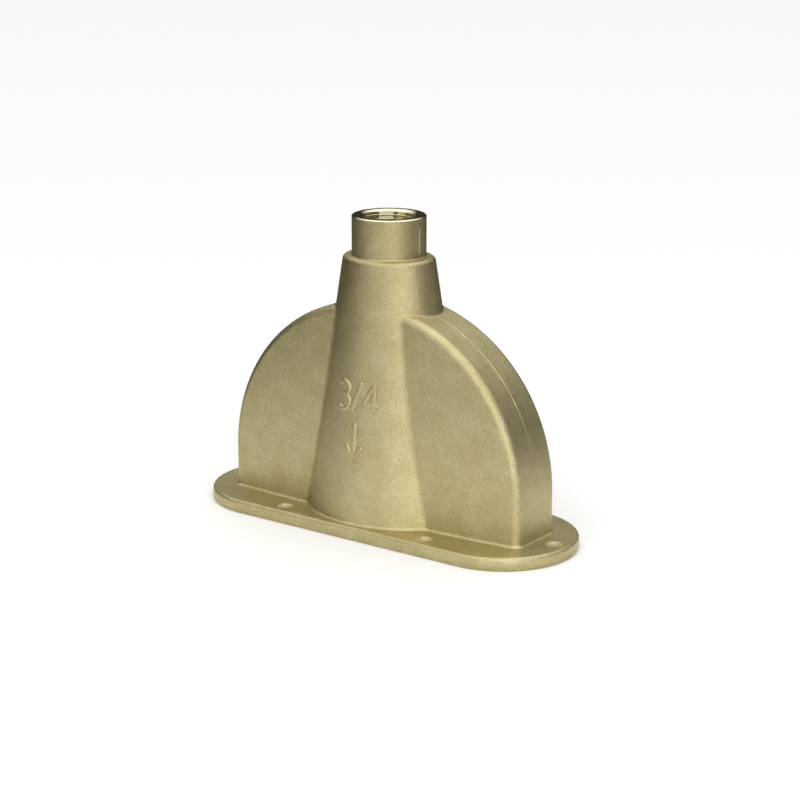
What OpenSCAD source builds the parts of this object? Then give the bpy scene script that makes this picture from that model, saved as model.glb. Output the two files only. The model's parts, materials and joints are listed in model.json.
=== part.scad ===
// Cast-brass flow body with a fixed-setting piston pressure regulator in its neck.
// Water enters the threaded socket at the top, passes the regulator, and leaves
// through the long opening in the flange.
// Millimetres, +Z up. The origin is the centre of the flange's machined underside,
// +X runs along the flange.

/* [Flange] */
// Overall length of the flange, whose ends are half circles
flange_l = 190; // [184:1:206]
// Width of the flange
flange_w = 69; // [68:0.5:76]
// Thickness of the flange
flange_t = 6; // [5:0.5:9]
// Distance between the side bolt holes along the flange
side_hole_span = 78; // [74:1:86]
// Distance from a bolt hole's centre to the flange's edge
hole_edge = 7; // [6:0.25:8]
// Diameter of the bolt holes, a clearance hole for an M6 screw
bolt_hole_d = 6.6; // [5.5:0.1:7]

/* [Casting] */
// Overall height of the body
body_h = 141; // [138:1:156]
// Height of the half moon's centre above the flange's underside
moon_z = 24; // [20:1:28]
// Thickness of the half moon at its rim
moon_rim_w = 30; // [28:1:34]
// Thickness of the half moon's crowned sides at its centre
moon_mid_w = 37; // [35:1:40]
// Radius of the half moon's rounded edges
moon_edge_r = 3.5; // [2:0.5:5]
// Length of the cone's oval foot along the flange
cone_foot_l = 82; // [76:1:92]
// Width of the cone's oval foot
cone_foot_w = 61; // [58:0.5:62.5]
// Length of the neck's oval shoulder along the flange
neck_l = 43.5; // [41:0.5:47]
// Width of the neck's oval shoulder
neck_w = 37; // [37:0.5:40]
// Wall thickness of the casting
wall = 4; // [3:0.25:4.5]

/* [Inlet] */
// Outer diameter of the inlet socket
socket_d = 33; // [31:0.5:36]
// Height of the inlet socket above the neck's shoulder
socket_h = 18; // [16:0.5:22]
// Wall diameter of the inlet thread: the minor diameter of a G 3/4 thread
thread_minor_d = 24.12; // [23.6:0.02:24.6]
// Diameter of the passage below the inlet thread
passage_d = 18; // [15:0.5:19]

/* [Regulator] */
// Diameter of the bore that holds the cartridge sleeve
neck_bore_d = 31; // [30:0.5:32]
// Diameter of the cylinder in which the piston slides
cylinder_d = 24; // [23.5:0.25:24.5]
// Diameter of the piston's hollow stem
stem_d = 14; // [13:0.25:15]
// Diameter of the water way through the seat and the stem
orifice_d = 8; // [7:0.25:9]
// Distance that the piston travels from open to closed
stroke = 3; // [2:0.25:4]
// Height of the piston spring with the valve open
spring_h = 24; // [21:0.5:26]
// Diameter of the spring's wire
spring_wire_d = 2.3; // [1.8:0.1:2.5]
// Diameter of the vent hole from the spring chamber
vent_d = 2.4; // [1.5:0.1:3]

/* [Hidden] */

$fn = 96;
eps = 0.01;

// Clearances
slide_gap = 0.05;    // radial gap of a part that slides in another
touch_gap = 0.02;    // gap left between parts that meet at an end of the travel
cord_gap = 0.05;     // gap beside a rubber cord in its groove

// Flange
flange_round = 1.5;      // rounding of the flange's upper edge
flange_chamfer = 0.5;    // chamfer of the flange's lower edge
end_centre_x = (flange_l - flange_w) / 2;
side_hole_y = flange_w / 2 - hole_edge;
end_hole_x = flange_l / 2 - hole_edge;

// Half moon: its ends stop this far short of the flange's ends
moon_margin = 16;
moon_r = flange_l / 2 - moon_margin;
// Its sides are crowned: radius of that shallow dome, and its centre's distance
crown_rise = (moon_mid_w - moon_rim_w) / 2;
crown_r = (pow(moon_r, 2) + pow(crown_rise, 2)) / (2 * crown_rise);
crown_offset = crown_r - moon_mid_w / 2;
crown_fn = 256;          // the crown's circle is large, so it takes more segments

// Neck
shoulder_z = body_h - socket_h;
shoulder_round = 2;
shoulder_steps = 6;
cone_top_z = shoulder_z - shoulder_round;
rim_land = 2.4;          // width of the flat rim around the socket's mouth
rim_chamfer = 0.5;       // chamfer of the rim's outer edge
relief_depth = 1.4;      // run-out groove below the thread, deeper than the thread
relief_r = thread_minor_d / 2 + relief_depth;
relief_h = 3;
mouth_r = socket_d / 2 - rim_land - rim_chamfer;

// Seal groove in the flange's underside, around the opening
groove_w = 3;
groove_h = 2.2;
groove_margin = 3;       // from the opening's edge to the groove
seal_corner_r = 5;
// Around the cone the groove is an oval, which needs a little more to keep that margin
seal_oval_extra_l = 0.8;
seal_oval_extra_w = 0.2;
opening_w = moon_mid_w - 2 * wall;

// Heights of the regulator's parts, from the inlet down
web_top = shoulder_z + 1.5;
web_h = 4.5;
web_bottom = web_top - web_h;
seat_flange_h = 3;
sleeve_top = web_bottom - seat_flange_h;
nozzle_h = 4;
lip_z = sleeve_top - nozzle_h;
disc_top = lip_z - stroke - touch_gap;
disc_h = 2;
cup_h = 3.5;
cup_bottom = disc_top - cup_h;
stem_tip_h = 4;
stem_bore_top = cup_bottom - stem_tip_h;
port_d = 4.5;
port_z = stem_bore_top - port_d / 2 - 0.5;
chamber_bottom = port_z - port_d / 2 - 1;
guide_h = 6;
cylinder_top = chamber_bottom - guide_h;
spring_washer_h = 1;
spring_top = cylinder_top - spring_washer_h;
head_top = spring_top - spring_h;
head_h = 6;
head_bottom = head_top - head_h;
stop_ring_h = 1.2;
stop_ring_top = head_bottom - touch_gap;
sleeve_bottom = stop_ring_top - stop_ring_h - 2.5;
vent_z = spring_top - vent_d / 2 - 0.3;
upper_ring_z = sleeve_top - 4;
lower_ring_z = vent_z - 4.5;
sleeve_step_z = lower_ring_z - 3.5;
nut_h = 6;
nut_bottom = sleeve_step_z - nut_h;
nut_seat_gap = 0.2;      // the sleeve's step stands this far below the casting's

// Radii of the regulator's parts
bore_r = neck_bore_d / 2 + slide_gap;
sleeve_r = neck_bore_d / 2;
sleeve_step_w = 1;       // step that the retaining nut presses on
sleeve_low_r = sleeve_r - sleeve_step_w;
nut_lap = 2.5;           // the nut is this much wider than the sleeve's bore
nut_r = sleeve_r + nut_lap;
boss_wall = 3.5;
boss_r = nut_r + boss_wall;
cylinder_r = cylinder_d / 2;
head_r = cylinder_r - slide_gap;
stem_r = stem_d / 2;
guide_r = stem_r + slide_gap;
orifice_r = orifice_d / 2;
cup_rim = 1.2;
cup_r = stem_r + cup_rim;
disc_r = cup_r - cup_rim;
chamber_gap = 2.4;       // water way around the disc cup
chamber_r = cup_r + chamber_gap;
nozzle_wall = 2;
nozzle_r = orifice_r + nozzle_wall;
lip_w = 0.8;
vent_groove_w = 3.6;
vent_groove_depth = 1.2;
vent_ports = 4;
stem_ports = 4;

// Rubber rings: depth and width of their grooves
ring_depth = 1.6;
ring_groove_w = 2.4;
stem_ring_depth = 1.4;
face_ring_r = passage_d / 2 + 2.4;
face_ring_d = 1.6;
stem_ring_z = chamber_bottom - stroke - 1.5;
head_ring_z = head_bottom + head_h / 2;

// Stop ring and its groove in the sleeve
stop_ring_depth = 1;
stop_ring_lap = 1.8;
stop_ring_gap_angle = 40;

// Screw that holds the seat disc
screw_d = 3;
screw_head_d = 5.6;
screw_head_h = 1.6;
screw_slot_w = 0.8;
screw_tip_z = cup_bottom - stem_tip_h + 0.6;

// Strainer in the inlet
washer_h = 2.8;
washer_r = relief_r - 0.2;
washer_hole_r = passage_d / 2 - 0.4;
mesh_h = 0.5;
mesh_lap = 1.2;
dome_drop = 3;           // depth of the mesh dome, which bulges with the flow
dome_r = (pow(washer_hole_r, 2) + pow(dome_drop, 2)) / (2 * dome_drop);
mesh_z = web_top + washer_h / 2;

// Retaining nut's spanner slots
nut_slots = 4;
nut_slot_w = 4;
nut_slot_h = 2.5;

// Spring
spring_turns = 6.5;
spring_r = (stem_r + cylinder_r) / 2 - 0.2;
closed_turns = 1;
closed_pitch = spring_wire_d * 1.06;
active_pitch = (spring_h - spring_wire_d - 2 * closed_turns * closed_pitch)
    / (spring_turns - 2 * closed_turns);
wire_sides = 8;
steps_per_turn = 20;

// ---------------------------------------------------------------- helpers

// Ring between two radii and two heights
module ring(r_in, r_out, z0, z1) {
    translate([0, 0, z0]) difference() {
        cylinder(r = r_out, h = z1 - z0);
        translate([0, 0, -1]) cylinder(r = r_in, h = z1 - z0 + 2);
    }
}

// Cylinder between two heights
module rod(r, z0, z1) {
    translate([0, 0, z0]) cylinder(r = r, h = z1 - z0);
}

// Rubber ring with a round section
module o_ring(centre_r, section_r, z) {
    translate([0, 0, z]) rotate_extrude()
        translate([centre_r, 0]) circle(r = section_r, $fn = 32);
}

// Oval as a polygon, so that its sides stay exact
module oval(half_l, half_w) {
    polygon([for (i = [0:$fn - 1]) [half_l * cos(i * 360 / $fn), half_w * sin(i * 360 / $fn)]]);
}

// Rectangle with round corners
module round_rect(half_l, half_w, r) {
    square([2 * half_l, 2 * (half_w - r)], center = true);
    square([2 * (half_l - r), 2 * half_w], center = true);
    for (sx = [-1, 1], sy = [-1, 1])
        translate([sx * (half_l - r), sy * (half_w - r)]) circle(r = r);
}

// ---------------------------------------------------------------- casting

// Half of the flange's section: underside at 0, round upper edge
module flange_section() {
    half_w = flange_w / 2;
    polygon([
        [0, 0], [half_w - flange_chamfer, 0], [half_w, flange_chamfer],
        [half_w, flange_t - flange_round], [half_w - flange_round, flange_t - flange_round],
        [half_w - flange_round, flange_t], [0, flange_t]
    ]);
    translate([half_w - flange_round, flange_t - flange_round]) circle(r = flange_round);
}

module flange_plate() {
    for (side = [0, 180]) rotate([0, 0, side]) {
        translate([end_centre_x, 0, 0]) rotate([0, 0, -90])
            rotate_extrude(angle = 180) flange_section();
        rotate([90, 0, 90])
            translate([0, 0, -end_centre_x]) linear_extrude(2 * end_centre_x) flange_section();
    }
}

// Half of the half moon's section, from its centre line out to its rim.
// Its sides are shallow arcs that run tangent into the rounded edges.
module moon_section(inset) {
    side_r = crown_r - inset;
    edge_r = max(moon_edge_r - inset / 2, 0.5);
    rim = moon_r - inset;
    edge_x = rim - edge_r;
    edge_y = sqrt(pow(side_r - edge_r, 2) - pow(edge_x, 2)) - crown_offset;
    intersection() {
        translate([0, -crown_offset]) circle(r = side_r, $fn = crown_fn);
        translate([0, crown_offset]) circle(r = side_r, $fn = crown_fn);
        translate([0, -moon_mid_w]) square([edge_x * side_r / (side_r - edge_r), 2 * moon_mid_w]);
    }
    translate([0, -edge_y]) square([rim, 2 * edge_y]);
    for (s = [-1, 1]) translate([edge_x, s * edge_y]) circle(r = edge_r);
}

// The half moon, from the height z0 up; its inset copy is the space inside it
module half_moon(z0, inset) {
    translate([0, 0, moon_z]) rotate([90, 0, 0])
        rotate_extrude(angle = 180) moon_section(inset);
    translate([0, 0, z0]) linear_extrude(moon_z - z0) {
        moon_section(inset);
        mirror([1, 0]) moon_section(inset);
    }
}

// Oval section of the cone at a height, shrunk all round by an inset
module cone_slice(z, inset) {
    low = (cone_top_z - z) / (cone_top_z - flange_t);
    translate([0, 0, z]) linear_extrude(eps)
        oval((neck_l + (cone_foot_l - neck_l) * low) / 2 - inset,
            (neck_w + (cone_foot_w - neck_w) * low) / 2 - inset);
}

// Straight-sided cone from its oval foot up to the oval shoulder with its soft edge
module cone_outside() {
    hull() {
        cone_slice(flange_t - 1, 0);
        for (i = [0:shoulder_steps]) {
            a = i * 90 / shoulder_steps;
            shrink = shoulder_round * (1 - cos(a));
            translate([0, 0, cone_top_z + shoulder_round * sin(a) - eps]) linear_extrude(eps)
                oval(neck_l / 2 - shrink, neck_w / 2 - shrink);
        }
    }
}

// Space inside the cone, below the boss
module cone_inside() {
    hull() {
        cone_slice(-1, wall);
        cone_slice(nut_bottom - eps, wall);
    }
}

// Inlet socket with a chamfered rim
module socket() {
    rod(socket_d / 2, shoulder_z - 1, body_h - rim_chamfer);
    translate([0, 0, body_h - rim_chamfer])
        cylinder(r1 = socket_d / 2, r2 = socket_d / 2 - rim_chamfer, h = rim_chamfer);
}

// Space inside the half moon and the cone, around the boss that holds the cartridge
module water_space() {
    difference() {
        union() {
            half_moon(-1, wall);
            cone_inside();
        }
        rod(boss_r, nut_bottom, body_h);
    }
}

// Machined bores of the neck: cartridge bore, nut thread, passage and inlet thread
module neck_bores() {
    thread_r = thread_minor_d / 2;
    rod(bore_r, nut_bottom - 1, web_bottom);
    rod(nut_r + slide_gap, nut_bottom - 1, sleeve_step_z + nut_seat_gap);
    rod(passage_d / 2, web_bottom - 1, web_top + 1);
    rod(thread_r, web_top, body_h + 1);
    rod(relief_r, web_top, web_top + relief_h);
    translate([0, 0, body_h - (mouth_r - thread_r)])
        cylinder(r1 = thread_r, r2 = mouth_r, h = mouth_r - thread_r + eps);
    translate([0, 0, vent_z]) rotate([-90, 0, 0])
        cylinder(d = vent_d, h = cone_foot_w / 2 + 1);
}

// Outline of the seal groove, grown by a given amount
module seal_outline(grow) {
    half_l = moon_r - wall + groove_margin + grow;
    round_rect(half_l, opening_w / 2 + groove_margin + grow, seal_corner_r + grow);
    oval(cone_foot_l / 2 - wall + groove_margin + grow + seal_oval_extra_l,
        cone_foot_w / 2 - wall + groove_margin + grow + seal_oval_extra_w);
}

module seal_band(side_gap, h) {
    linear_extrude(h) difference() {
        seal_outline(groove_w - side_gap);
        seal_outline(side_gap);
    }
}

module bolt_holes() {
    for (sx = [-1, 1]) {
        for (sy = [-1, 1])
            translate([sx * side_hole_span / 2, sy * side_hole_y, -1])
                cylinder(d = bolt_hole_d, h = flange_t + 2);
        translate([sx * end_hole_x, 0, -1]) cylinder(d = bolt_hole_d, h = flange_t + 2);
    }
}

module body_casting() {
    color("#b3a878") difference() {
        union() {
            flange_plate();
            half_moon(flange_t - 1, 0);
            cone_outside();
            socket();
        }
        water_space();
        neck_bores();
        bolt_holes();
        translate([0, 0, -1]) seal_band(0, groove_h + 1);
    }
}

// Rubber cord that lies in the flange's groove, pressed flush
module flange_seal() {
    color("#26272a") seal_band(cord_gap, groove_h);
}

// ---------------------------------------------------------------- inlet strainer

// Dome of wire mesh with a flat rim
module mesh_shape() {
    translate([0, 0, mesh_z + dome_r - dome_drop]) intersection() {
        difference() {
            sphere(r = dome_r);
            sphere(r = dome_r - mesh_h);
        }
        translate([0, 0, -dome_r - 1])
            cylinder(r = washer_hole_r - 0.1, h = dome_drop + 1 + mesh_h / 2);
    }
    ring(washer_hole_r - 1, washer_hole_r + mesh_lap, mesh_z, mesh_z + mesh_h);
}

// Rubber washer in the run-out groove below the inlet thread, moulded around the mesh
module strainer_washer() {
    color("#26272a") difference() {
        ring(washer_hole_r, washer_r, web_top, web_top + washer_h);
        ring(washer_hole_r - 1, washer_hole_r + mesh_lap, mesh_z, mesh_z + mesh_h);
    }
}

module strainer_mesh() {
    color("#c9cbcc") mesh_shape();
}

// ---------------------------------------------------------------- regulator, fixed pieces

// Seat with its nozzle, clamped between the neck's web and the sleeve
module valve_seat() {
    color("#c8a24b") difference() {
        union() {
            rod(sleeve_r - slide_gap, sleeve_top, web_bottom);
            rod(nozzle_r, lip_z + 1, sleeve_top + 1);
            translate([0, 0, lip_z])
                cylinder(r1 = orifice_r + lip_w, r2 = nozzle_r, h = 1);
        }
        rod(orifice_r, lip_z - 1, web_bottom + 1);
        translate([0, 0, web_bottom - 2])
            cylinder(r1 = orifice_r, r2 = orifice_r + 2 + eps, h = 2 + eps);
        ring(face_ring_r - face_ring_d / 2 - 0.2, face_ring_r + face_ring_d / 2 + 0.2,
            web_bottom - face_ring_d, web_bottom + 1);
    }
}

module seat_o_ring() {
    color("#1e1f21") o_ring(face_ring_r, face_ring_d / 2, web_bottom - face_ring_d / 2);
}

// Sleeve that holds the piston: valve chamber on top, stem guide, then the cylinder
module cartridge_sleeve() {
    color("#caa653") difference() {
        union() {
            rod(sleeve_r, sleeve_step_z, sleeve_top);
            rod(sleeve_low_r, sleeve_bottom, sleeve_step_z);
        }
        rod(chamber_r, chamber_bottom, sleeve_top + 1);
        rod(guide_r, sleeve_bottom - 1, sleeve_top + 1);
        rod(cylinder_r, sleeve_bottom - 1, cylinder_top);
        rod(cylinder_r + stop_ring_depth, stop_ring_top - stop_ring_h, stop_ring_top);
        for (z = [upper_ring_z, lower_ring_z])
            ring(sleeve_r - ring_depth, sleeve_r + 1, z - ring_groove_w / 2, z + ring_groove_w / 2);
        ring(sleeve_r - vent_groove_depth, sleeve_r + 1,
            vent_z - vent_groove_w / 2, vent_z + vent_groove_w / 2);
        for (i = [0:vent_ports - 1])
            translate([0, 0, vent_z]) rotate([90, 0, (i + 0.5) * 360 / vent_ports])
                cylinder(d = vent_d, h = sleeve_r + 1);
    }
}

// Static rubber ring between the sleeve's groove and the neck's bore
module sleeve_ring(z) {
    gap = bore_r - sleeve_r + ring_depth;
    o_ring(bore_r - gap / 2, gap / 2 - touch_gap, z);
}

module sleeve_o_ring_upper() {
    color("#1e1f21") sleeve_ring(upper_ring_z);
}

module sleeve_o_ring_lower() {
    color("#1e1f21") sleeve_ring(lower_ring_z);
}

// Ring nut that presses the cartridge up against the web
module retaining_nut() {
    color("#bf9a45") difference() {
        ring(sleeve_low_r + slide_gap, nut_r, nut_bottom, sleeve_step_z);
        for (i = [0:nut_slots / 2 - 1])
            rotate([0, 0, 45 + i * 90])
                translate([-nut_r - 1, -nut_slot_w / 2, nut_bottom - 1])
                    cube([2 * nut_r + 2, nut_slot_w, nut_slot_h + 1]);
    }
}

// Open spring ring that keeps the piston in the cylinder
module stop_ring() {
    z0 = stop_ring_top - stop_ring_h;
    color("#8f9497") translate([0, 0, z0]) rotate([0, 0, 90 + stop_ring_gap_angle / 2])
        rotate_extrude(angle = 360 - stop_ring_gap_angle)
            translate([cylinder_r - stop_ring_lap, 0])
                square([stop_ring_lap + stop_ring_depth - cord_gap, stop_ring_h]);
}

module spring_washer() {
    color("#b9bcbe") ring(stem_r + 0.4, cylinder_r - 0.2, spring_top, cylinder_top);
}

// ---------------------------------------------------------------- regulator, moving pieces

// Height of the wire's centre after a number of turns: closed turns at both ends
function wire_z(turn) = spring_wire_d / 2
    + closed_pitch * min(turn, closed_turns)
    + active_pitch * min(max(turn - closed_turns, 0), spring_turns - 2 * closed_turns)
    + closed_pitch * max(turn - (spring_turns - closed_turns), 0);

// Ring of points around the wire at one step of the helix
function wire_ring(turn) = [for (k = [0:wire_sides - 1])
    let (a = (k + 0.5) * 360 / wire_sides,
        r = spring_r + spring_wire_d / 2 * cos(a),
        z = wire_z(turn) + spring_wire_d / 2 * sin(a))
    [r * cos(turn * 360), r * sin(turn * 360), z]];

module piston_spring() {
    steps = spring_turns * steps_per_turn;
    points = [for (i = [0:steps]) each wire_ring(i / steps_per_turn)];
    skin = [for (i = [0:steps - 1], k = [0:wire_sides - 1])
        let (a = i * wire_sides + k, b = i * wire_sides + (k + 1) % wire_sides)
        [a, a + wire_sides, b + wire_sides, b]];
    first_cap = [for (k = [0:wire_sides - 1]) k];
    last_cap = [for (k = [wire_sides - 1:-1:0]) steps * wire_sides + k];
    color("#aeb3b6") translate([0, 0, head_top])
        polyhedron(points, concat(skin, [first_cap, last_cap]));
}

// Hollow stem with a wide head; outlet water under the head lifts it
module piston() {
    color("#d0ad5e") difference() {
        union() {
            rod(stem_r, head_top - 1, cup_bottom);
            rod(head_r, head_bottom, head_top);
        }
        rod(orifice_r, head_bottom - 1, stem_bore_top);
        rod(screw_d / 2, screw_tip_z, cup_bottom + 1);
        translate([0, 0, head_bottom - eps])
            cylinder(r1 = orifice_r + 2.5, r2 = orifice_r, h = 2.5);
        for (i = [0:stem_ports / 2 - 1])
            translate([0, 0, port_z]) rotate([90, 0, i * 360 / stem_ports])
                cylinder(d = port_d, h = 2 * stem_r + 2, center = true);
        ring(stem_r - stem_ring_depth, stem_r + 1,
            stem_ring_z - ring_groove_w / 2, stem_ring_z + ring_groove_w / 2);
        ring(head_r - ring_depth, head_r + 1,
            head_ring_z - ring_groove_w / 2, head_ring_z + ring_groove_w / 2);
    }
}

// Rubber ring that moves with the piston, clear of the bore it slides in
module moving_ring(piston_r, depth, z) {
    section_r = (depth - touch_gap) / 2;
    o_ring(piston_r - section_r, section_r, z);
}

module stem_o_ring() {
    color("#1e1f21") moving_ring(stem_r, stem_ring_depth, stem_ring_z);
}

module head_o_ring() {
    color("#1e1f21") moving_ring(head_r, ring_depth, head_ring_z);
}

// Cup on the stem's tip that holds the seat disc
module disc_cup() {
    color("#c8a24b") difference() {
        rod(cup_r, cup_bottom, disc_top);
        rod(disc_r, disc_top - disc_h, disc_top + 1);
        rod(screw_d / 2, cup_bottom - 1, disc_top);
    }
}

// Rubber disc that closes on the nozzle's lip
module seat_disc() {
    color("#26272a") ring(screw_d / 2, disc_r, disc_top - disc_h, disc_top);
}

module disc_screw() {
    head_end = disc_top + screw_head_h;
    color("#b9bcbe") difference() {
        union() {
            rod(screw_d / 2, screw_tip_z, disc_top + eps);
            rod(screw_head_d / 2, disc_top, head_end);
        }
        translate([-screw_head_d, -screw_slot_w / 2, head_end - screw_head_h / 2])
            cube([2 * screw_head_d, screw_slot_w, screw_head_h]);
    }
}

// ---------------------------------------------------------------- nodes

body_casting();
flange_seal();
strainer_washer();
strainer_mesh();
valve_seat();
seat_o_ring();
cartridge_sleeve();
sleeve_o_ring_upper();
sleeve_o_ring_lower();
retaining_nut();
stop_ring();
spring_washer();
piston_spring();
piston();
stem_o_ring();
head_o_ring();
disc_cup();
seat_disc();
disc_screw();
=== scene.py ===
import json
import math

import bpy
import bmesh
import numpy as np
from mathutils import Matrix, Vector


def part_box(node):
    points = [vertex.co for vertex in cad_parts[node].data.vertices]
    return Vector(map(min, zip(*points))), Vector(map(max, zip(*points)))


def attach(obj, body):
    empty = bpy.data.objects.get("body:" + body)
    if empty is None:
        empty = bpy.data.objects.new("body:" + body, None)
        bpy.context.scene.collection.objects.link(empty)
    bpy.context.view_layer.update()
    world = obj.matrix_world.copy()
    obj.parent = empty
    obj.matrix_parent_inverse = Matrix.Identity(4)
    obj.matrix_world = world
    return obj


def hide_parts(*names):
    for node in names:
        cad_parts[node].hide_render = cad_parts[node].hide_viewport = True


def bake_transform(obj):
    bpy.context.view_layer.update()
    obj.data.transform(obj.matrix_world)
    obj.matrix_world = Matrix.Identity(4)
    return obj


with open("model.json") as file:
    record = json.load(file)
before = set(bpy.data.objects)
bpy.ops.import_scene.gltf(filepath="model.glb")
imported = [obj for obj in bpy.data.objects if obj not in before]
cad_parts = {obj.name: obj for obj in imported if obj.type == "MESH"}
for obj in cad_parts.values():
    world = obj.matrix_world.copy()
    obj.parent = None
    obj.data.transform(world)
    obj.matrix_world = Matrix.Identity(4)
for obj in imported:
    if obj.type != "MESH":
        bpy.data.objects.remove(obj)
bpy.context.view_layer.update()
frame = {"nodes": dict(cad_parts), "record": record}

# Cast-brass water inlet body with a piston pressure regulator in its neck.
# The helper functions work in millimetres; make_piece turns them to metres.

MM = 0.001

# ------------------------------------------------------------ sizes, in mm

FLANGE_L = 190.0
FLANGE_W = 69.0
FLANGE_T = 6.0
BODY_H = 141.0

# Half moon: rim circle, crowned sides, rounded edges
MOON_Z = 24.0
MOON_R = 79.0
MOON_RIM_HALF = 15.0
MOON_MID_HALF = 18.5
MOON_EDGE_R = 3.5
CROWN_RISE = MOON_MID_HALF - MOON_RIM_HALF
CROWN_R = (MOON_R ** 2 + CROWN_RISE ** 2) / (2 * CROWN_RISE)

# Oval cone, oval shoulder and inlet socket
CONE_FOOT_X = 41.0
CONE_FOOT_Y = 30.5
NECK_X = 21.75
NECK_Y = 18.5
SOCKET_R = 16.5
SHOULDER_Z = 123.0
SHOULDER_ROUND = 2.0
CONE_TOP_Z = SHOULDER_Z - SHOULDER_ROUND
RIM_CHAMFER = 0.5
MOUTH_R = 13.6

# Soft inner corners of the casting
VALLEY_BLEND = 1.0       # between the cone and the half moon
NECK_BLEND = 1.0         # between the shoulder and the socket
ROOT_FILLET = 1.4        # between the walls and the flange

# Inlet thread, 14 turns to the inch
THREAD_R = 12.06
THREAD_DEPTH = 1.16
THREAD_PITCH = 25.4 / 14
THREAD_Z0 = 127.5

# Machined surfaces inside: from the nut's face up, and in the seal groove's depth
NUT_Z = 73.9
NUT_BORE_R = 18.2
GROOVE_H = 2.3

# Bolt holes: two on each side and one at each end
HOLE_R = 3.3
SIDE_HOLE_X = 39.0
SIDE_HOLE_Y = 27.5
END_HOLE_X = 88.0
HOLES = [(sx * SIDE_HOLE_X, sy * SIDE_HOLE_Y) for sx in (-1, 1) for sy in (-1, 1)]
HOLES += [(-END_HOLE_X, 0.0), (END_HOLE_X, 0.0)]

# Vent hole at the back of the neck, with a faced ring round it
VENT_R = 1.2
VENT_Z = 87.98
VENT_FACED = 1.7
VENT_DEPTH = 6.5

# Mould flash on the half moon's rim, between two angles, and on the socket
FLASH_W = 0.9
FLASH_H = 0.28
FLASH_FROM = 6
FLASH_TO = 72
SOCKET_FLASH_W = 0.9
SOCKET_FLASH_H = 0.24
BEAD_SINK = 0.12

# Raised size mark on the front of the cone
MARK_Z = 57.0
MARK_H = 0.8
MARK_W = 2.6

# Spring: wire, turns, and the closed turns at each end
SPRING_WIRE_R = 1.15
SPRING_TURNS = 6.5
SPRING_CLOSED = 1.0

# Strainer: woven wires in a bowl, and the ring that binds them
BOWL_R = 8.45
WEAVE = 0.85
WEAVE_WIRE_R = 0.13
WIRES_EACH_SIDE = 9
STRAINER_RING_R = 8.0
STRAINER_RING_H = 0.45

# Mesh density: azimuths, rows in the fillet, the straight part and above, and the fine
# steps that both are spaced from
WALL_AZIMUTHS = 330
WALL_ROWS = (7, 26, 255)
FINE_STEPS = 4001

# Height at which the casting's outline sets the azimuths, and half the floor's side
OUTLINE_Z = 14.0
FLOOR_HALF = 8000.0

# ------------------------------------------------------------ camera and light

CAM_AZIMUTH = 36.127
CAM_ELEVATION = 15.39
CAM_PAN = -0.3146
CAM_TILT = 0.2260
CAM_DISTANCE = 0.90623
CAM_AIM_Z = 0.060
LENS_MM = 90.66
SENSOR_MM = 36.0

# Floor as the metal mirrors it, a painted pool of light: painted lit out to the first distance,
# painted dim from the second
TABLE_LIT = 0.20
TABLE_DIM = 0.52
PAINTED_POOL_IN_METAL = [(0.0, "#f2f2f0"), (0.4, "#a4a29a"), (1.0, "#322f28")]

# Studio sky from the horizon (0) to overhead (1)
SKY = [(0.0, "#24221c"), (0.42, "#302e28"), (0.66, "#cfcfcd"), (0.85, "#ffffff")]
SKY_STRENGTH = 1.6

# Soft boxes: name, azimuth, elevation, distance, width and height in metres, watts
SOFT_BOXES = [
    ("key", 48, 14, 1.5, 1.5, 0.9, 10.5),
    ("front_left", -13, 12, 1.6, 0.9, 0.7, 3.7),
    ("right_rear", 134, 2, 1.5, 0.5, 0.3, 0.7),
]


# ------------------------------------------------------------ colour and nodes

def srgb(hex_text):
    """sRGB hex colour as a linear RGBA tuple."""
    value = [int(hex_text[i:i + 2], 16) / 255 for i in (1, 3, 5)]
    lin = [c / 12.92 if c <= 0.04045 else ((c + 0.055) / 1.055) ** 2.4 for c in value]
    return (*lin, 1.0)


def add_node(tree, kind, values=None, links=None, **settings):
    """Add a shader node with its settings, input values and links to other outputs."""
    node = tree.nodes.new(kind)
    for key, value in settings.items():
        setattr(node, key, value)
    for key, value in (values or {}).items():
        node.inputs[key].default_value = value
    for key, output in (links or {}).items():
        tree.links.new(output, node.inputs[key])
    return node


def new_material(name):
    """Empty node material with its output; returns the material, its tree and the output."""
    mat = bpy.data.materials.new(name)
    mat.use_nodes = True
    tree = mat.node_tree
    tree.nodes.clear()
    out = add_node(tree, "ShaderNodeOutputMaterial")
    return mat, tree, out


def ramp(tree, factor, stops):
    """Colour ramp from (position, hex) stops."""
    node = add_node(tree, "ShaderNodeValToRGB", links={"Fac": factor})
    node.color_ramp.elements[0].position = stops[0][0]
    node.color_ramp.elements[0].color = srgb(stops[0][1])
    node.color_ramp.elements[1].position = stops[-1][0]
    node.color_ramp.elements[1].color = srgb(stops[-1][1])
    for position, colour in stops[1:-1]:
        element = node.color_ramp.elements.new(position)
        element.color = srgb(colour)
    return node


def noise(tree, coords, size_mm, detail=3.0, roughness=0.55):
    """Noise whose patches are about size_mm across."""
    return add_node(tree, "ShaderNodeTexNoise", {"Scale": 1000.0 / size_mm, "Detail": detail,
                                                 "Roughness": roughness}, {"Vector": coords})


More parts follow.
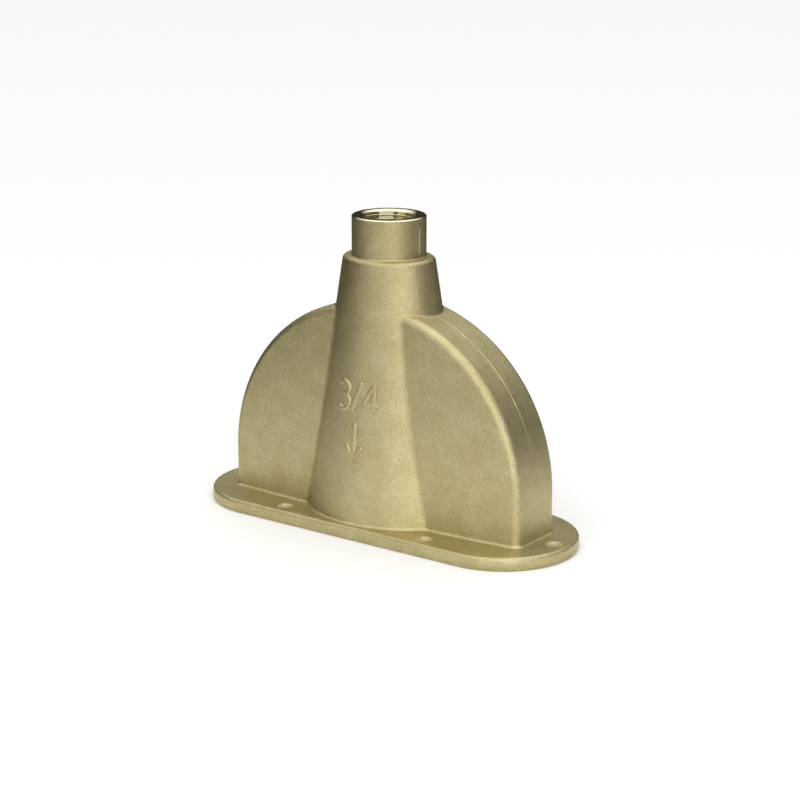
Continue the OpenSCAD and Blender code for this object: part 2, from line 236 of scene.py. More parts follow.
def cast_brass(name, grain_mm, grain_height, rough, tone):
    """Brass casting, blasted with shot: tiny dents that break every reflection into a soft,
    sandy glow, light flecks on the dents' edges and faint cloudy patches from the mould."""
    mat, tree, out = new_material(name)
    obj = add_node(tree, "ShaderNodeTexCoord").outputs["Object"]
    cloud = noise(tree, obj, 9.0, 4.0, 0.65)
    fleck = noise(tree, obj, grain_mm * 1.2, 3.0, 0.7)
    grain = noise(tree, obj, grain_mm, 3.0, 0.7)
    pits = noise(tree, obj, grain_mm * 3.5, 3.0, 0.7)
    base = ramp(tree, cloud.outputs["Fac"], tone)
    flecks = ramp(tree, fleck.outputs["Fac"],
                  [(0.32, "#cdc6b2"), (0.50, "#f2eee3"), (0.66, "#ffffff")])
    colour = add_node(tree, "ShaderNodeMix", {"Factor": 1.0}, data_type="RGBA", blend_type="MULTIPLY")
    tree.links.new(base.outputs["Color"], colour.inputs[6])
    tree.links.new(flecks.outputs["Color"], colour.inputs[7])
    roughness = add_node(tree, "ShaderNodeMapRange", {"From Min": 0.3, "From Max": 0.7,
                                                      "To Min": rough - 0.06, "To Max": rough + 0.08},
                         {"Value": fleck.outputs["Fac"]})
    bump_a = add_node(tree, "ShaderNodeBump", {"Strength": 1.0, "Distance": grain_height * MM},
                      {"Height": grain.outputs["Fac"]})
    bump_b = add_node(tree, "ShaderNodeBump", {"Strength": 1.0, "Distance": grain_height * 0.8 * MM},
                      {"Height": pits.outputs["Fac"], "Normal": bump_a.outputs["Normal"]})
    bsdf = add_node(tree, "ShaderNodeBsdfPrincipled", {"Metallic": 1.0},
                    {"Base Color": colour.outputs[2], "Roughness": roughness.outputs["Result"],
                     "Normal": bump_b.outputs["Normal"]})
    tree.links.new(bsdf.outputs["BSDF"], out.inputs["Surface"])
    return mat


def tool_rings(tree, coords, feed_mm):
    """Grooves of a turning tool about the Z axis: sin(2 pi (radius + height) / feed)."""
    parts = add_node(tree, "ShaderNodeSeparateXYZ", links={"Vector": coords})
    flat = add_node(tree, "ShaderNodeCombineXYZ",
                    links={"X": parts.outputs["X"], "Y": parts.outputs["Y"]})
    radius = add_node(tree, "ShaderNodeVectorMath", links={"Vector": flat.outputs["Vector"]},
                      operation="LENGTH")
    path = add_node(tree, "ShaderNodeMath", links={0: radius.outputs["Value"], 1: parts.outputs["Z"]},
                    operation="ADD")
    turns = add_node(tree, "ShaderNodeMath", {1: 2 * math.pi / (feed_mm * MM)},
                     {0: path.outputs["Value"]}, operation="MULTIPLY")
    return add_node(tree, "ShaderNodeMath", links={0: turns.outputs["Value"]}, operation="SINE")


def turned_brass(name, rough, tone):
    """Brass cut on a machine: bright yellow metal with fine rings from the tool."""
    mat, tree, out = new_material(name)
    obj = add_node(tree, "ShaderNodeTexCoord").outputs["Object"]
    rings = tool_rings(tree, obj, 0.3)
    smear = noise(tree, obj, 6.0)
    base = ramp(tree, smear.outputs["Fac"], tone)
    bump = add_node(tree, "ShaderNodeBump", {"Strength": 0.35, "Distance": 0.006 * MM},
                    {"Height": rings.outputs["Value"]})
    bsdf = add_node(tree, "ShaderNodeBsdfPrincipled", {"Metallic": 1.0, "Roughness": rough},
                    {"Base Color": base.outputs["Color"], "Normal": bump.outputs["Normal"]})
    tree.links.new(bsdf.outputs["BSDF"], out.inputs["Surface"])
    return mat


def steel(name, rough, colour_a, colour_b, streak_mm):
    """Stainless steel, drawn or stamped: grey metal with faint streaks."""
    mat, tree, out = new_material(name)
    obj = add_node(tree, "ShaderNodeTexCoord").outputs["Object"]
    streak = noise(tree, obj, streak_mm, 4.0)
    base = ramp(tree, streak.outputs["Fac"], [(0.35, colour_a), (0.65, colour_b)])
    bump = add_node(tree, "ShaderNodeBump", {"Strength": 0.2, "Distance": 0.02 * MM},
                    {"Height": streak.outputs["Fac"]})
    bsdf = add_node(tree, "ShaderNodeBsdfPrincipled", {"Metallic": 1.0, "Roughness": rough},
                    {"Base Color": base.outputs["Color"], "Normal": bump.outputs["Normal"]})
    tree.links.new(bsdf.outputs["BSDF"], out.inputs["Surface"])
    return mat


def moulded_nitrile():
    """Moulded nitrile rubber: near black, dull, with a faint dusty bloom."""
    mat, tree, out = new_material("moulded_nitrile")
    obj = add_node(tree, "ShaderNodeTexCoord").outputs["Object"]
    dust = noise(tree, obj, 3.0)
    skin = noise(tree, obj, 0.4)
    base = ramp(tree, dust.outputs["Fac"], [(0.35, "#1b1c1e"), (0.75, "#2f3032")])
    bump = add_node(tree, "ShaderNodeBump", {"Strength": 0.4, "Distance": 0.03 * MM},
                    {"Height": skin.outputs["Fac"]})
    bsdf = add_node(tree, "ShaderNodeBsdfPrincipled", {"Roughness": 0.62},
                    {"Base Color": base.outputs["Color"], "Normal": bump.outputs["Normal"]})
    tree.links.new(bsdf.outputs["BSDF"], out.inputs["Surface"])
    return mat


# ------------------------------------------------------------ forms of the casting

def smooth_min(a, b, size):
    """Lower of two distances, rounded where they differ by less than size."""
    h = np.clip(size - np.abs(a - b), 0, None) / size
    return np.minimum(a, b) - h * h * size / 4


def round_corner(a, b, radius):
    """Distance to where two surfaces a and b meet at an outer edge of the given radius."""
    qa, qb = a + radius, b + radius
    outside = np.hypot(np.maximum(qa, 0), np.maximum(qb, 0))
    return np.minimum(np.maximum(qa, qb), 0) + outside - radius


def moon_distance(x, y, z):
    """Distance to the half moon: a disc with crowned sides, drawn straight down below
    its centre. Sides: half thickness falls with the square of the distance from the axis."""
    u = np.where(z > MOON_Z, np.hypot(x, z - MOON_Z), np.abs(x))
    side = np.hypot(u, np.abs(y) + CROWN_R - MOON_MID_HALF) - CROWN_R
    return round_corner(side, u - MOON_R, MOON_EDGE_R)


def cone_distance(x, y, z):
    """Distance to the oval cone: half axes shrink in a straight line from the foot to
    the shoulder, whose edge is rounded."""
    low = (CONE_TOP_Z - z) / (CONE_TOP_Z - FLANGE_T)
    a = np.maximum(NECK_X + (CONE_FOOT_X - NECK_X) * low, 1.0)
    b = np.maximum(NECK_Y + (CONE_FOOT_Y - NECK_Y) * low, 1.0)
    k = np.sqrt((x / a) ** 2 + (y / b) ** 2) + 1e-9
    slope = np.sqrt((x / a ** 2) ** 2 + (y / b ** 2) ** 2) + 1e-9
    return round_corner(k * (k - 1) / slope, z - SHOULDER_Z, SHOULDER_ROUND)


def casting_distance(x, y, z):
    """Distance to the outside of the casting above its flange: half moon, oval cone and
    socket joined with soft inner corners."""
    walls = smooth_min(moon_distance(x, y, z), cone_distance(x, y, z), VALLEY_BLEND)
    return smooth_min(walls, np.hypot(x, y) - SOCKET_R, NECK_BLEND)


def gradient(f, p, step=0.02):
    """Unit normals of the level surface of f at points p, by central differences."""
    g = np.empty_like(p)
    for axis in range(3):
        hi, lo = p.copy(), p.copy()
        hi[:, axis] += step
        lo[:, axis] -= step
        g[:, axis] = f(*hi.T) - f(*lo.T)
    return g / (np.linalg.norm(g, axis=1, keepdims=True) + 1e-12)


def reach(f, start, direction, near, far, level=0.0, rounds=44):
    """Walk along rays to the surface f = level by halving the interval near..far."""
    near = np.full(len(start), float(near))
    far = np.full(len(start), float(far))
    for _ in range(rounds):
        middle = (near + far) / 2
        inside = f(*(start + direction * middle[:, None]).T) < level
        near = np.where(inside, middle, near)
        far = np.where(inside, far, middle)
    return start + direction * near[:, None]


# ------------------------------------------------------------ meshes

def make_piece(name, points, faces, materials, normals=None):
    """Mesh object from points in mm, with smooth faces and optional exact normals."""
    mesh = bpy.data.meshes.new(name)
    mesh.from_pydata((points * MM).tolist(), [], faces.tolist())
    mesh.polygons.foreach_set("use_smooth", np.ones(len(faces), dtype=bool))
    for mat in materials:
        mesh.materials.append(mat)
    mesh.update()
    if normals is not None:
        mesh.normals_split_custom_set_from_vertices(normals.tolist())
    piece = bpy.data.objects.new(name, mesh)
    bpy.context.scene.collection.objects.link(piece)
    return piece


def grid_faces(rows, cols, close_rows=False, close_cols=False):
    """Quads of a rows x cols grid of points; either way round can close on itself."""
    r = np.arange(rows if close_rows else rows - 1)
    c = np.arange(cols if close_cols else cols - 1)
    i, j = np.meshgrid(r, c, indexing="ij")
    i2, j2 = (i + 1) % rows, (j + 1) % cols
    quads = np.stack([i * cols + j, i * cols + j2, i2 * cols + j2, i2 * cols + j], axis=-1)
    return quads.reshape(-1, 4)


def lathe(name, profile, materials, steps=144, closed=False):
    """Profile points (r, z) turned once about the Z axis. The faces turn to the right of
    the profile's way; a closed profile makes a ring."""
    profile = np.asarray(profile, dtype=float)
    angle = np.linspace(0, 2 * np.pi, steps, endpoint=False)
    r, z = profile[:, 0][:, None], profile[:, 1][:, None]
    points = np.stack([r * np.cos(angle), r * np.sin(angle), z + 0 * angle], axis=-1)
    faces = grid_faces(len(profile), steps, close_rows=closed, close_cols=True)
    return make_piece(name, points.reshape(-1, 3), faces, materials)


def even_steps(values, weight, count):
    """Pick count values so that steps of the running total of weight are equal."""
    total = np.concatenate([[0], np.cumsum((weight[1:] + weight[:-1]) / 2 * np.diff(values))])
    return np.interp(np.linspace(0, total[-1], count), total, values)


# ------------------------------------------------------------ casting walls

def wall_azimuths(count):
    """Azimuths from 0 to 180 degrees, evenly spaced along the casting's outline."""
    fine = np.linspace(0, np.pi, FINE_STEPS)
    start = np.stack([0 * fine, 0 * fine, 0 * fine + OUTLINE_Z], axis=-1)
    ray = np.stack([np.cos(fine), np.sin(fine), 0 * fine], axis=-1)
    outline = reach(casting_distance, start, ray, 1.0, 120.0)
    step = np.linalg.norm(np.diff(outline, axis=0), axis=1)
    weight = np.concatenate([[step[0]], step]) / (fine[1] - fine[0])
    return even_steps(fine, weight, count)


def wall_rays(fillet_rows, low_rows, high_rows):
    """Rows of rays: level rays up the root fillet and the straight part, then rays that
    rise from the half moon's centre until they meet the socket's rim."""
    quarter = np.linspace(0, np.pi / 2, fillet_rows, endpoint=False)
    z_fillet = FLANGE_T + ROOT_FILLET * (1 - np.cos(quarter))
    z_low = np.linspace(FLANGE_T + ROOT_FILLET, MOON_Z, low_rows, endpoint=False)
    z = np.concatenate([z_fillet, z_low])
    top = math.atan2(BODY_H - RIM_CHAMFER - MOON_Z, SOCKET_R)
    fine = np.linspace(0, top, FINE_STEPS)
    front = np.interp(fine, [0, top], [CONE_FOOT_Y, SOCKET_R]) / np.cos(fine) ** 2
    rise = even_steps(fine, np.maximum(MOON_R, front), high_rows)
    start_z = np.concatenate([z, np.full(high_rows, MOON_Z)])
    elevation = np.concatenate([0 * z, rise])
    return start_z, elevation


def casting_half(name, side, mat):
    """One mould half of the casting's outside, side +1 at the back or -1 at the front.
    Point (i, j) is where ray i, turned to azimuth j, meets the outer form; near the flange
    the form is pushed out by the root fillet: R - sqrt(R^2 - (R - height)^2)."""
    azimuth = wall_azimuths(WALL_AZIMUTHS)
    start_z, elevation = wall_rays(*WALL_ROWS)
    rise, turn = np.meshgrid(elevation, azimuth, indexing="ij")
    z0 = np.broadcast_to(start_z[:, None], rise.shape)
    level = np.cos(rise)
    ray = np.stack([level * np.cos(turn), side * level * np.sin(turn), np.sin(rise)], axis=-1)
    start = np.stack([0 * z0, 0 * z0, z0], axis=-1)

    def form(x, y, z):
        height = np.clip(ROOT_FILLET - (z - FLANGE_T), 0, ROOT_FILLET)
        return casting_distance(x, y, z) - (ROOT_FILLET - np.sqrt(ROOT_FILLET ** 2 - height ** 2))

    points = reach(form, start.reshape(-1, 3), ray.reshape(-1, 3), 1.0, 160.0)
    normals = gradient(form, points)
    normals[points[:, 2] < FLANGE_T + 0.001] = (0, 0, 1)
    faces = grid_faces(*rise.shape)
    if side < 0:
        faces = faces[:, ::-1]
    else:
        centre = points[faces].mean(axis=1)
        faces = faces[np.hypot(centre[:, 0], centre[:, 2] - VENT_Z) > VENT_R + 0.5]
    return make_piece(name, points, faces, [mat], normals)


def vent_mouth(mat):
    """Drilled vent in the back of the neck: a ring that lies on the cone, a small
    countersink, and the bore's wall going in."""
    angle = np.linspace(0, 2 * np.pi, 48, endpoint=False)
    radius = VENT_R + np.array([VENT_FACED, 0.9, 0.35, 0.0, 0.0, 0.0])
    depth = np.array([-0.02, -0.02, 0.0, 0.4, 3.0, VENT_DEPTH])
    x = (radius[:, None] * np.cos(angle)).ravel()
    z = (VENT_Z + radius[:, None] * np.sin(angle)).ravel()
    start = np.stack([x, 0 * x, z], axis=-1)
    ray = np.tile([0.0, 1.0, 0.0], (len(x), 1))
    points = reach(casting_distance, start, ray, 1.0, 60.0)
    points[:, 1] -= np.repeat(depth, len(angle))
    faces = grid_faces(len(radius), len(angle), close_cols=True)[:, ::-1]
    return make_piece("vent_mouth", points, faces, [mat])


# ------------------------------------------------------------ raised details

def raised_line(name, centre, across, normal, half_w, height, mat):
    """Raised bead along a line that lies on the casting. Its section has a flat top and
    round shoulders, 1.35 * (1 - |t|^3) cut off at 1, and its feet sink a little below the
    surface. half_w and height give its size at each point along the line, so it can taper
    off. The faces turn to the side that normal points to."""
    t = np.linspace(-1, 1, 9)
    lift = np.clip(1.35 * (1 - np.abs(t) ** 3), 0, 1)
    offset = across[:, None, :] * (t[None, :, None] * half_w[:, None, None])
    rise = lift[None, :, None] * (height[:, None, None] + BEAD_SINK) - BEAD_SINK
    rise = normal[:, None, :] * rise
    points = (centre[:, None, :] + offset + rise).reshape(-1, 3)
    faces = grid_faces(len(centre), len(t))
    facing = np.sum(np.cross(across, np.gradient(centre, axis=0)) * normal)
    if facing < 0:
        faces = faces[:, ::-1]
    return make_piece(name, points, faces, [mat])


def flash_line(name, side, mat):
    """Thin mould flash where the two mould halves met: it runs down the middle of the
    rim on one side, strongest high on the arc and dressed away towards both ends."""
    angle = np.linspace(math.radians(FLASH_FROM), math.radians(FLASH_TO), 160)
    normal = np.stack([side * np.cos(angle), 0 * angle, np.sin(angle)], axis=-1)
    centre = normal * MOON_R + (0, 0, MOON_Z)
    across = np.tile([0.0, 1.0, 0.0], (len(angle), 1))
    fade = np.interp(np.degrees(angle), [FLASH_FROM, 24, 34, 58, 66, FLASH_TO],
                     [0.0, 0.25, 1.0, 1.0, 0.5, 0.0])
    fade = fade * (0.85 + 0.15 * np.sin(angle * 37))
    half_w = FLASH_W / 2 * (0.5 + 0.5 * fade)
    return raised_line(name, centre, across, normal, half_w, FLASH_H * fade, mat)


def socket_flash(name, side, mat):
    """Short upright flash on the side of the inlet socket."""
    z = np.linspace(SHOULDER_Z + 1.2, BODY_H - 3.5, 60)
    t = np.linspace(0, 1, 60)
    centre = np.stack([0 * z + side * SOCKET_R, 0 * z, z], axis=-1)
    normal = np.tile([float(side), 0.0, 0.0], (60, 1))
    across = np.tile([0.0, 1.0, 0.0], (60, 1))
    fade = np.clip(np.minimum(t, 1 - t) * 8, 0, 1)
    half_w = SOCKET_FLASH_W / 2 + 0 * z
    return raised_line(name, centre, across, normal, half_w, SOCKET_FLASH_H * fade, mat)


def on_front(x, z):
    """Points on the casting's front face at the given x and z."""
    start = np.stack([x, 0 * x, z], axis=-1)
    ray = np.tile([0.0, -1.0, 0.0], (len(x), 1))
    return reach(casting_distance, start, ray, 1.0, 60.0)


def mark_stroke(name, path, mat):
    """One cast stroke of the size mark: a bead along a path of (x, z) points laid on the
    cone, with rounded ends."""
    path = np.asarray(path, dtype=float)
    length = np.concatenate([[0], np.cumsum(np.linalg.norm(np.diff(path, axis=0), axis=1))])
    s = np.linspace(0, length[-1], max(int(length[-1] / 0.25), 12))
    x, z = np.interp(s, length, path[:, 0]), np.interp(s, length, path[:, 1])
    centre = on_front(x, z)
    normal = gradient(casting_distance, centre)
    along = np.gradient(centre, axis=0)
    along /= np.linalg.norm(along, axis=1, keepdims=True)
    across = np.cross(normal, along)
    end = np.minimum(s, length[-1] - s) / (MARK_W / 2)
    round_end = np.sqrt(np.clip(1 - (1 - np.clip(end, 0, 1)) ** 2, 0, 1))
    return raised_line(name, centre, across, normal, MARK_W / 2 * np.maximum(round_end, 0.02),
                       MARK_H * round_end, mat)


def arc(cx, cz, radius, start, stop, count=24):
    """Points (x, z) along an arc, angles in degrees."""
    a = np.radians(np.linspace(start, stop, count))
    return [(cx + radius * math.cos(v), cz + radius * math.sin(v)) for v in a]


def size_mark(mat):
    """Raised 3/4 for the pipe size, with a flow arrow below it."""
    three = arc(-7.2, MARK_Z + 9.3, 2.9, 150, -90) + arc(-7.2, MARK_Z + 3.3, 3.3, 90, -150)
    slash = [(-2.6, MARK_Z - 0.6), (2.8, MARK_Z + 13.2)]
    four = [(9.0, MARK_Z - 0.4), (9.0, MARK_Z + 12.4), (4.0, MARK_Z + 3.4), (11.4, MARK_Z + 3.4)]
    shaft = [(0.0, MARK_Z - 5.0), (0.0, MARK_Z - 21.0)]
    head = [(-4.6, MARK_Z - 15.6), (0.0, MARK_Z - 21.4), (4.6, MARK_Z - 15.6)]
    strokes = {"three": three, "slash": slash, "four": four,
               "arrow_shaft": shaft, "arrow_head": head}
    return [mark_stroke("mark_" + key, path, mat) for key, path in strokes.items()]


# ------------------------------------------------------------ machined inlet

def inlet_thread(mat):
    """Female pipe thread: radius = wall radius + depth * (0.5 - 0.62 cos(phase)), where the
    bracket is cut off at 0 and 1 for flat crests and roots, and phase = 2 pi height / pitch
    - angle makes it right-handed. The mouth's chamfer cuts it back."""
    z = np.linspace(THREAD_Z0, BODY_H, 150)
    angle = np.linspace(0, 2 * np.pi, 180, endpoint=False)
    zz, aa = np.meshgrid(z, angle, indexing="ij")
    phase = 2 * np.pi * (zz / THREAD_PITCH) - aa
    form = np.clip(0.5 - 0.62 * np.cos(phase), 0, 1)
    radius = THREAD_R + THREAD_DEPTH * form
    chamfer = MOUTH_R - (BODY_H - zz)
    radius = np.maximum(radius, chamfer)
    points = np.stack([radius * np.cos(aa), radius * np.sin(aa), zz], axis=-1).reshape(-1, 3)
    faces = grid_faces(len(z), len(angle), close_cols=True)[:, ::-1]
    return make_piece("inlet_thread", points, faces, [mat])


def inlet_rim(mat):
    """Faced rim of the socket: outer chamfer, flat land, and a broken inner edge."""
    top = BODY_H
    profile = [(SOCKET_R + 0.01, top - RIM_CHAMFER), (SOCKET_R - RIM_CHAMFER + 0.08, top - 0.05),
               (SOCKET_R - RIM_CHAMFER - 0.05, top), (MOUTH_R + 0.12, top), (MOUTH_R, top - 0.03)]
    return lathe("inlet_rim", profile, [mat])


def drilled_holes(mat):
    """Walls of the six bolt holes, each a straight bore that rolls over into a narrow
    polished lip on the flange."""
    r = np.array([0.0, 0.0, 0.0, 0.06, 0.2, 0.42]) + HOLE_R - 0.02
    z = np.array([-5.9, -3.0, -0.3, -0.07, 0.01, 0.012]) + FLANGE_T
    angle = np.linspace(0, 2 * np.pi, 48, endpoint=False)
    r, z = r[:, None], z[:, None]
    ring = np.stack([r * np.cos(angle), r * np.sin(angle), z + 0 * angle], axis=-1).reshape(-1, 3)
    centres = np.array([(x, y, 0.0) for x, y in HOLES])
    points = (centres[:, None, :] + ring[None, :, :]).reshape(-1, 3)
    faces = grid_faces(len(r), len(angle), close_cols=True)[:, ::-1]
    steps = np.arange(len(centres))[:, None, None] * len(ring)
    return make_piece("drilled_holes", points, (faces[None] + steps).reshape(-1, 4), [mat])


# ------------------------------------------------------------ casting base from the CAD solid

def casting_base(outside_mat, inside_mat, machined_mat):
    """The rest of the casting: flange, underside, water space and bores. A copy of the
    solid without the outer walls and the socket's mouth, which the pieces above stand for."""
    source = frame["nodes"]["body_casting"]
    mesh = source.data.copy()
    mesh.name = "casting_base"
    bm = bmesh.new()
    bm.from_mesh(mesh)
    bmesh.ops.remove_doubles(bm, verts=bm.verts, dist=1e-7)
    bm.faces.ensure_lookup_table()
    centre = np.array([f.calc_center_median() for f in bm.faces]) / MM
    x, y, z = centre.T
    dist = casting_distance(x, y, z)
    outer = (z > FLANGE_T + 0.02) & (dist > -0.4)
    mouth = (np.hypot(x, y) < SOCKET_R + 0.1) & (z > THREAD_Z0 + 0.05)
    drop = outer | mouth
    edge = FLANGE_W / 2 - np.hypot(np.maximum(np.abs(x) - (FLANGE_L - FLANGE_W) / 2, 0), y)
    flange_top = (z > FLANGE_T - 0.1) & (z < FLANGE_T + 0.02)
    flange_side = (edge < 2.5) & (z > 0.05)
    outside = flange_top | flange_side
    bores = (z > NUT_Z) & (np.hypot(x, y) < NUT_BORE_R)
    machined = ~outside & ((z < GROOVE_H) | bores)
    slots = np.where(machined, 2, np.where(outside, 0, 1))
    for face, slot in zip(bm.faces, slots):
        face.material_index = int(slot)
        face.smooth = True
    bmesh.ops.delete(bm, geom=[f for f, d in zip(bm.faces, drop) if d], context="FACES")
    bm.to_mesh(mesh)
    bm.free()
    mesh.materials.clear()
    for mat in (outside_mat, inside_mat, machined_mat):
        mesh.materials.append(mat)
    piece = bpy.data.objects.new("casting_base", mesh)
    bpy.context.scene.collection.objects.link(piece)
    mesh.set_sharp_from_angle(angle=math.radians(30))
    return piece


# ------------------------------------------------------------ spring and strainer

def tube_along(name, centre, radius, sides, mat):
    """Round tube along a line: rings stand square to the line, with closed ends."""
    along = np.gradient(centre, axis=0)
    along /= np.linalg.norm(along, axis=1, keepdims=True)
    up = np.tile([0.0, 0.0, 1.0], (len(centre), 1))
    side = np.cross(along, up)
    side /= np.linalg.norm(side, axis=1, keepdims=True) + 1e-12
    lift = np.cross(side, along)
    a = np.linspace(0, 2 * np.pi, sides, endpoint=False)
    ring = side[:, None, :] * np.cos(a)[None, :, None] + lift[:, None, :] * np.sin(a)[None, :, None]
    points = (centre[:, None, :] + radius * ring).reshape(-1, 3)
    n = len(centre)
    faces = grid_faces(n, sides, close_cols=True)[:, ::-1].tolist()
    first = list(range(sides))
    last = list(range((n - 1) * sides, n * sides))[::-1]
    mesh = bpy.data.meshes.new(name)
    mesh.from_pydata((points * MM).tolist(), [], faces + [first, last])
    mesh.polygons.foreach_set("use_smooth", np.ones(len(faces) + 2, dtype=bool))
    mesh.materials.append(mat)
    mesh.update()
    piece = bpy.data.objects.new(name, mesh)
    bpy.context.scene.collection.objects.link(piece)
    return piece


def spring_wire(mat):
    """Compression spring: a helix whose height rises slowly over the closed end turns and
    evenly between them, inside the box of the CAD spring."""
    low, high = (np.array(c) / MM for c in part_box("piston_spring"))
    wire_r, turns, closed = SPRING_WIRE_R, SPRING_TURNS, SPRING_CLOSED
    outer = (high[0] - low[0]) / 2
    t = np.linspace(0, turns, 520)
    closed_pitch = 2 * wire_r * 1.06       # closed turns stand just clear of each other
    bottom = low[2] + wire_r * 0.04
    height = high[2] - bottom - 0.06
    pitch = (height - 2 * wire_r - 2 * closed * closed_pitch) / (turns - 2 * closed)
    z = bottom + wire_r + closed_pitch * np.minimum(t, closed)
    z = z + pitch * np.clip(t - closed, 0, turns - 2 * closed)
    z = z + closed_pitch * np.maximum(t - (turns - closed), 0)
    r = outer - wire_r - 0.02
    centre = np.stack([r * np.cos(2 * np.pi * t), r * np.sin(2 * np.pi * t), z], axis=-1)
    return tube_along("spring_wire", centre, wire_r, 14, mat)


def mesh_wires(mat):
    """Woven dome of the strainer: wires both ways over a shallow bowl; each waves over and
    under its neighbours by nearly a wire's radius, cos(pi * distance / spacing)."""
    low, high = (np.array(c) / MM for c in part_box("strainer_mesh"))
    drop = high[2] - low[2] - 0.6
    rim_z = high[2] - 0.25
    sphere_r = (BOWL_R ** 2 + drop ** 2) / (2 * drop)
    sides, count = 6, 61
    a = np.linspace(0, 2 * np.pi, sides, endpoint=False)
    lines = np.arange(-WIRES_EACH_SIDE, WIRES_EACH_SIDE + 1)
    all_points, all_faces, base = [], [], 0
    for way in (0, 1):
        for n in lines:
            across = n * WEAVE
            half = math.sqrt(max(BOWL_R ** 2 - across ** 2, 0.5))
            s = np.linspace(-half, half, count)
            x, y = (s, 0 * s + across) if way == 0 else (0 * s + across, s)
            bowl = np.sqrt(np.maximum(sphere_r ** 2 - x * x - y * y, 0)) - (sphere_r - drop)
            phase = 1 - 2 * ((n + way) % 2)
            z = rim_z - bowl + 0.9 * WEAVE_WIRE_R * phase * np.cos(np.pi * s / WEAVE)
            centre = np.stack([x, y, z], axis=-1)
            side = np.array([0.0, 1.0, 0.0]) if way == 0 else np.array([1.0, 0.0, 0.0])
            up = np.array([0.0, 0.0, 1.0])
            ring = side[None, :] * np.cos(a)[:, None] + up[None, :] * np.sin(a)[:, None]
            points = (centre[:, None, :] + WEAVE_WIRE_R * ring[None, :, :]).reshape(-1, 3)
            faces = grid_faces(count, sides, close_cols=True)
            if way == 1:
                faces = faces[:, ::-1]
            all_points.append(points)
            all_faces.append(faces + base)
            base += len(points)
    return make_piece("strainer_wires", np.concatenate(all_points), np.concatenate(all_faces), [mat])


def mesh_rim(mat):
    """Flat stamped ring that binds the mesh's edge inside the washer."""
    low, high = (np.array(c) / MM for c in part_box("strainer_mesh"))
    outer, inner = (high[0] - low[0]) / 2, STRAINER_RING_R
    top, bottom = high[2], high[2] - STRAINER_RING_H
    profile = [(inner, bottom), (outer, bottom), (outer, top), (inner, top)]
    return lathe("strainer_rim", profile, [mat], steps=96, closed=True)


# ------------------------------------------------------------ scene

def area_light(name, size_x, size_y, power, place, aim):
    """Soft box that faces a point."""
    light = bpy.data.lights.new(name, "AREA")
    light.shape = "RECTANGLE"
    light.size, light.size_y = size_x, size_y
    light.energy = power
    lamp = bpy.data.objects.new(name, light)
    back = np.array(place, dtype=float) - np.array(aim, dtype=float)
    back /= np.linalg.norm(back)
    right = np.cross([0.0, 0.0, 1.0], back)
    right /= np.linalg.norm(right)
    up = np.cross(back, right)
    rows = [[right[i], up[i], back[i], place[i]] for i in range(3)] + [[0, 0, 0, 1]]
    lamp.matrix_world = Matrix(rows)
    bpy.context.scene.collection.objects.link(lamp)


def make_camera():
    """Camera on a circle round the part, turned by a small pan and tilt."""
    a, e = math.radians(CAM_AZIMUTH), math.radians(CAM_ELEVATION)
    away = np.array([math.sin(a) * math.cos(e), -math.cos(a) * math.cos(e), math.sin(e)])
    place = np.array([0, 0, CAM_AIM_Z]) + away * CAM_DISTANCE
    a2, e2 = a + math.radians(CAM_PAN), e + math.radians(CAM_TILT)
    back = np.array([math.sin(a2) * math.cos(e2), -math.cos(a2) * math.cos(e2), math.sin(e2)])
    right = np.array([math.cos(a2), math.sin(a2), 0.0])
    up = np.cross(back, right)
    data = bpy.data.cameras.new("camera")
    data.lens, data.sensor_width = LENS_MM, SENSOR_MM
    data.clip_start, data.clip_end = 0.05, 50
    camera = bpy.data.objects.new("camera", data)
    rows = [[right[i], up[i], back[i], place[i]] for i in range(3)] + [[0, 0, 0, 1]]
    camera.matrix_world = Matrix(rows)
    bpy.context.scene.collection.objects.link(camera)
    bpy.context.scene.camera = camera


def make_stage():
    """Plain white floor as the camera sees it. In the metal's reflections its colour is a painted
    pool of light: painted white near the part and painted darker further out."""
    mat, tree, out = new_material("white_floor_painted_pool")
    place = add_node(tree, "ShaderNodeTexCoord").outputs["Object"]
    away = add_node(tree, "ShaderNodeVectorMath", links={"Vector": place}, operation="LENGTH")
    dim = add_node(tree, "ShaderNodeMapRange", {"From Min": TABLE_LIT, "From Max": TABLE_DIM},
                   {"Value": away.outputs["Value"]})
    # Painted pool of light: the floor colour seen in reflections is light near the part and painted
    # darker further out
    painted_pool = ramp(tree, dim.outputs["Result"], PAINTED_POOL_IN_METAL)
    seen = add_node(tree, "ShaderNodeBsdfDiffuse", {"Color": srgb("#fbfbfb")})
    painted_pool_bsdf = add_node(tree, "ShaderNodeBsdfDiffuse", links={"Color": painted_pool.outputs["Color"]})
    path = add_node(tree, "ShaderNodeLightPath")
    both = add_node(tree, "ShaderNodeMixShader", links={"Fac": path.outputs["Is Glossy Ray"]})
    tree.links.new(seen.outputs["BSDF"], both.inputs[1])
    tree.links.new(painted_pool_bsdf.outputs["BSDF"], both.inputs[2])
    tree.links.new(both.outputs["Shader"], out.inputs["Surface"])
    corners = [(-1, -1, 0), (1, -1, 0), (1, 1, 0), (-1, 1, 0)]
    corners = np.array(corners, dtype=float) * FLOOR_HALF
    make_piece("floor", corners, np.array([[0, 1, 2, 3]]), [mat])


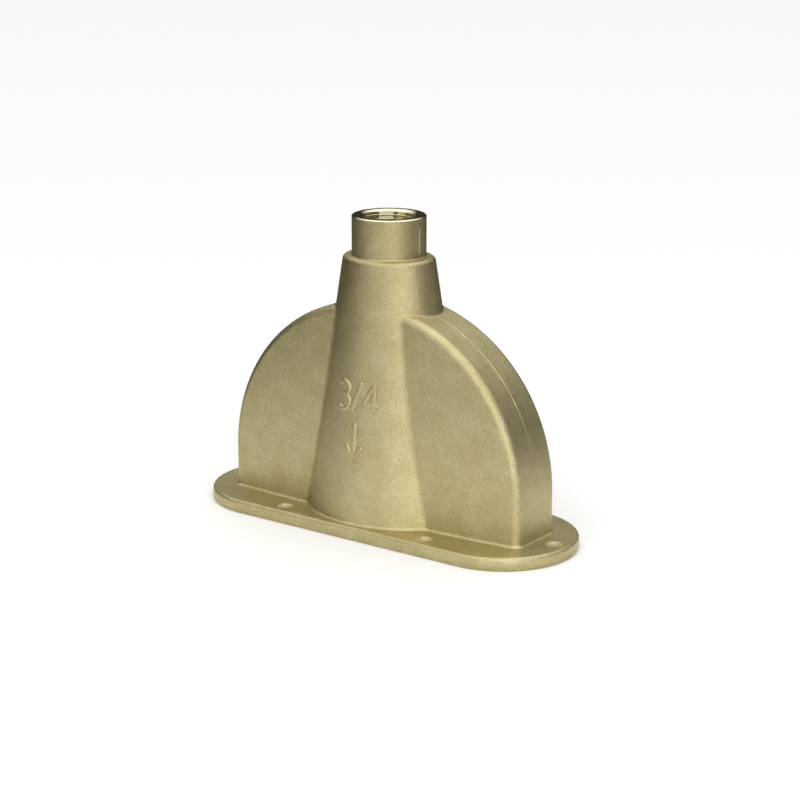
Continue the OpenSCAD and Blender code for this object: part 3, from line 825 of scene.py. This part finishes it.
def studio_world():
    """White backdrop. The metal mirrors a studio tent that is bright overhead and dim
    round the horizon, so that its round forms get soft dark edges."""
    world = bpy.data.worlds.new("studio")
    bpy.context.scene.world = world
    world.use_nodes = True
    tree = world.node_tree
    tree.nodes.clear()
    out = add_node(tree, "ShaderNodeOutputWorld")
    way = add_node(tree, "ShaderNodeTexCoord")
    parts = add_node(tree, "ShaderNodeSeparateXYZ", links={"Vector": way.outputs["Generated"]})
    sky = ramp(tree, parts.outputs["Z"], SKY)
    tent = add_node(tree, "ShaderNodeBackground", {"Strength": SKY_STRENGTH},
                    {"Color": sky.outputs["Color"]})
    backdrop = add_node(tree, "ShaderNodeBackground", {"Color": srgb("#ffffff"), "Strength": 1.1})
    path = add_node(tree, "ShaderNodeLightPath")
    both = add_node(tree, "ShaderNodeMixShader", links={"Fac": path.outputs["Is Camera Ray"]})
    tree.links.new(tent.outputs["Background"], both.inputs[1])
    tree.links.new(backdrop.outputs["Background"], both.inputs[2])
    tree.links.new(both.outputs["Shader"], out.inputs["Surface"])


def make_lights():
    """Soft boxes round the part; each is a place by azimuth, elevation and distance."""
    for name, azimuth, elevation, distance, width, height, power in SOFT_BOXES:
        a, e = math.radians(azimuth), math.radians(elevation)
        way = np.array([math.sin(a) * math.cos(e), -math.cos(a) * math.cos(e), math.sin(e)])
        place = way * distance + (0, 0, CAM_AIM_Z)
        area_light(name, width, height, power, place, (0, 0, CAM_AIM_Z))
    bpy.context.scene.view_settings.view_transform = "Standard"


def main():
    blasted = cast_brass("shot_blasted_cast_brass", 0.42, 0.17, 0.38,
                         [(0.32, "#cbc196"), (0.52, "#d2c9a0"), (0.72, "#dad2ac")])
    sanded = cast_brass("as_cast_brass_inside", 1.2, 0.30, 0.50,
                        [(0.35, "#a5956a"), (0.55, "#b3a376"), (0.75, "#b8a97e")])
    turned = turned_brass("turned_brass", 0.13, [(0.3, "#ddd4b2"), (0.7, "#e9e2c6")])
    # Bolt-hole walls: a paler copy of the turned brass, painted light that stands in for the light
    # bouncing up into the holes
    drilled_painted_lit = turned_brass("painted_lit_drilled_brass", 0.55, [(0.3, "#f0e7c6"), (0.7, "#f8f0d6")])
    spring = steel("drawn_stainless_wire", 0.25, "#b9bbbd", "#d3d5d6", 1.2)
    stamped = steel("stamped_stainless", 0.32, "#b4b6b8", "#cdcfd0", 3.0)
    rubber = moulded_nitrile()

    # Outside of the casting and its details
    shell = [casting_half("casting_front", -1, blasted), casting_half("casting_back", 1, blasted),
             casting_base(blasted, sanded, turned)]
    shell += [flash_line("rim_flash_right", 1, blasted),
              flash_line("rim_flash_left", -1, blasted),
              socket_flash("socket_flash_right", 1, blasted),
              socket_flash("socket_flash_left", -1, blasted)]
    shell += size_mark(blasted)
    machined = [vent_mouth(turned), inlet_thread(turned), inlet_rim(turned), drilled_holes(drilled_painted_lit)]
    for piece in shell + machined:
        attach(piece, "housing")
        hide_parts("body_casting")

    # Spring and strainer
    wire = spring_wire(spring)
    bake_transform(wire)
    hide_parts("piston_spring")
    for piece in (mesh_wires(spring), mesh_rim(stamped)):
        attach(piece, "housing")
        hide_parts("strainer_mesh")

    # Finishes of the solids that show as they are
    finishes = {"machined_brass": turned, "stainless_steel": stamped, "rubber": rubber}
    for part in frame["record"]["subparts"]:
        mat = finishes.get(part["material_slot"])
        if mat is not None:
            data = frame["nodes"][part["node"]].data
            data.materials.clear()
            data.materials.append(mat)

    make_camera()
    make_stage()
    studio_world()
    make_lights()


main()
